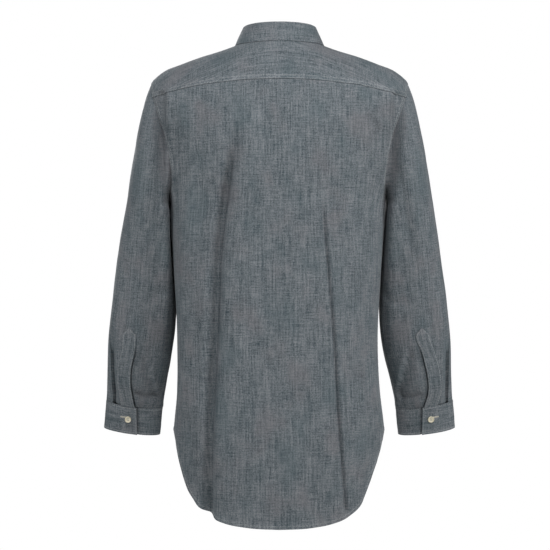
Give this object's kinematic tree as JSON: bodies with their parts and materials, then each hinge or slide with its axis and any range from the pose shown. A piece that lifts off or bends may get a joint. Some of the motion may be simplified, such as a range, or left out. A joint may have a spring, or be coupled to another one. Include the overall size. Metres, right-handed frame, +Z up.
{
  "type": "long chambray shirt",
  "caption": "Long-tailed chambray shirt with back yoke, folded collar, buttoned front and one-button cuffs, filled out as worn, arms down.",
  "frame": {"origin": "the middle of the neck opening, level with the points where the collar meets the shoulders", "axes": "+X to the wearer's left, -Y to the wearer's front, +Z up along the body"},
  "size_m": [0.6254, 0.2532, 0.8658],
  "materials": {
    "chambray": "matt yarn-dyed chambray, warp down the piece",
    "chambray crosswise": "matt yarn-dyed chambray, warp across the piece",
    "button": "ivory, half gloss"
  },
  "bodies": {
    "root": {"back": "chambray", "yoke": "chambray crosswise", "front_left": "chambray", "front_right": "chambray", "sleeve_left": "chambray", "sleeve_right": "chambray", "placket_left": "chambray", "placket_right": "chambray", "cuff_left": "chambray crosswise", "cuff_right": "chambray crosswise", "collar_stand": "chambray crosswise", "collar_fall": "chambray crosswise", "button_front_1": "button", "button_front_2": "button", "button_front_3": "button", "button_front_4": "button", "button_front_5": "button", "button_front_6": "button", "button_front_7": "button", "button_collar": "button", "button_cuff_left": "button", "button_cuff_right": "button"}
  },
  "joints": []
}
